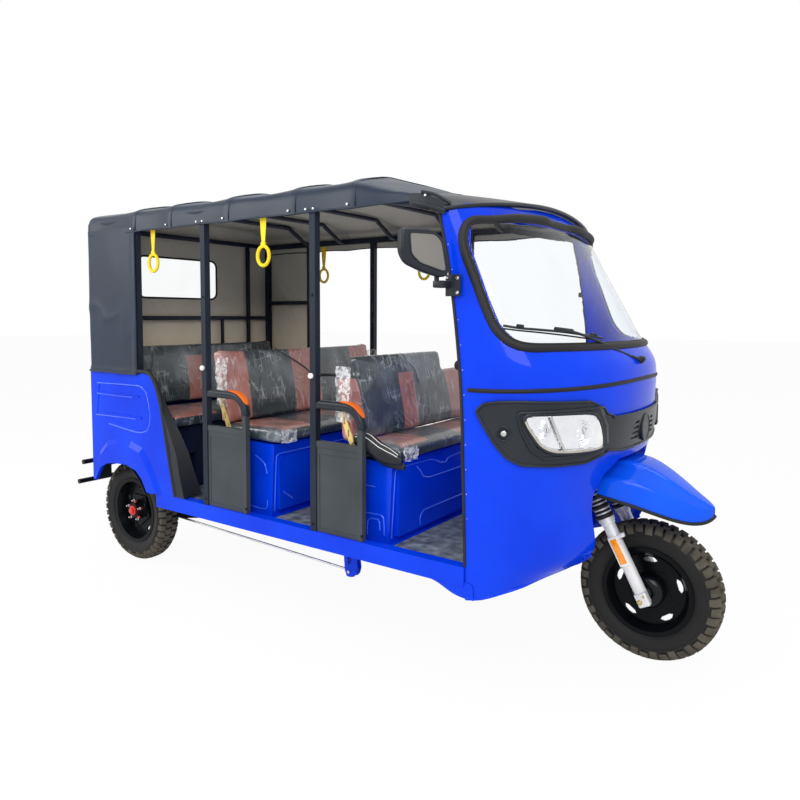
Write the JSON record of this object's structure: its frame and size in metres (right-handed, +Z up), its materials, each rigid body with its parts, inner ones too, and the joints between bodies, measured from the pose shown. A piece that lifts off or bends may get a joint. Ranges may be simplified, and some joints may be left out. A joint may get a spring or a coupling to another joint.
{
  "type": "auto rickshaw",
  "caption": "Long passenger three-wheeler with a closed blue cab nose, open sides, canvas canopy, rows of bench seats, steered front fork and rear axle.",
  "frame": {"origin": "on the ground below the middle of the bounding box", "axes": "+X forward, +Y to the vehicle's left, +Z up"},
  "size_m": [3.179, 1.7422, 1.88],
  "materials": {
    "blue_paint": "gloss royal blue",
    "frame_paint": "satin dark navy",
    "guard_paint": "satin dark grey",
    "canvas": "coated dark canvas",
    "seat_vinyl": "vinyl under clear film",
    "tyre": "block tread",
    "rim_black": "black",
    "fork_silver": "silver paint",
    "black_plastic": "dark plastic",
    "glass": "clear",
    "lamp": "clear lens",
    "red_lamp": "red lens",
    "rubber": "black",
    "steel": "black paint",
    "strap": "yellow",
    "pad": "black foam with orange tops",
    "film": "clear vinyl"
  },
  "bodies": {
    "chassis": {"chassis_frame": "steel", "floor_pan": "blue_paint", "cab_shell": "blue_paint", "windscreen_glass": "glass", "windscreen_seal": "rubber", "front_mask": "black_plastic", "headlamps": "lamp", "front_bulkhead": "blue_paint", "wheel_house": "blue_paint", "visor": "black_plastic", "mirrors": "black_plastic", "wiper": "steel", "rear_quarter_left": "blue_paint", "rear_quarter_right": "blue_paint", "rear_panel": "blue_paint", "rear_bumper": "steel", "rear_lamps": "red_lamp", "side_frame_left": "frame_paint", "side_frame_right": "frame_paint", "roof_bows": "frame_paint", "rear_frame": "frame_paint", "rear_posts": "frame_paint", "canopy_roof": "canvas", "rear_curtain": "canvas", "rear_window": "film", "front_seat_box": "blue_paint", "middle_seat_box": "blue_paint", "rear_seat_base": "guard_paint", "front_cushion": "seat_vinyl", "middle_cushion": "seat_vinyl", "rear_cushion": "seat_vinyl", "front_backrest": "seat_vinyl", "middle_backrest": "seat_vinyl", "rear_backrest": "seat_vinyl", "seat_brackets": "strap", "side_guards": "guard_paint", "armrest_pads": "pad", "grab_straps": "strap", "rear_axle": "steel", "brake_linkage": "steel"},
    "fork": {"fork_legs": "fork_silver", "fork_yoke": "steel", "handlebar": "steel", "front_fender": "blue_paint"},
    "front_wheel": {"front_tyre": "tyre", "front_rim": "rim_black"},
    "rear_left_wheel": {"rear_left_tyre": "tyre", "rear_left_rim": "rim_black"},
    "rear_right_wheel": {"rear_right_tyre": "tyre", "rear_right_rim": "rim_black"}
  },
  "joints": [
    {"name": "steering", "type": "hinge", "parent": "chassis", "child": "fork", "pos_m": [1.26853, 0, 0.27], "axis": [-0.4695, 0, 0.8829], "range_deg": [-35, 35]},
    {"name": "front_wheel_spin", "type": "hinge", "parent": "fork", "child": "front_wheel", "pos_m": [1.3195, 0, 0.27], "axis": [0, 1, 0], "continuous": true},
    {"name": "rear_left_spin", "type": "hinge", "parent": "chassis", "child": "rear_left_wheel", "pos_m": [-1.2455, 0.48, 0.27], "axis": [0, 1, 0], "continuous": true},
    {"name": "rear_right_spin", "type": "hinge", "parent": "chassis", "child": "rear_right_wheel", "pos_m": [-1.2455, -0.48, 0.27], "axis": [0, 1, 0], "continuous": true}
  ]
}
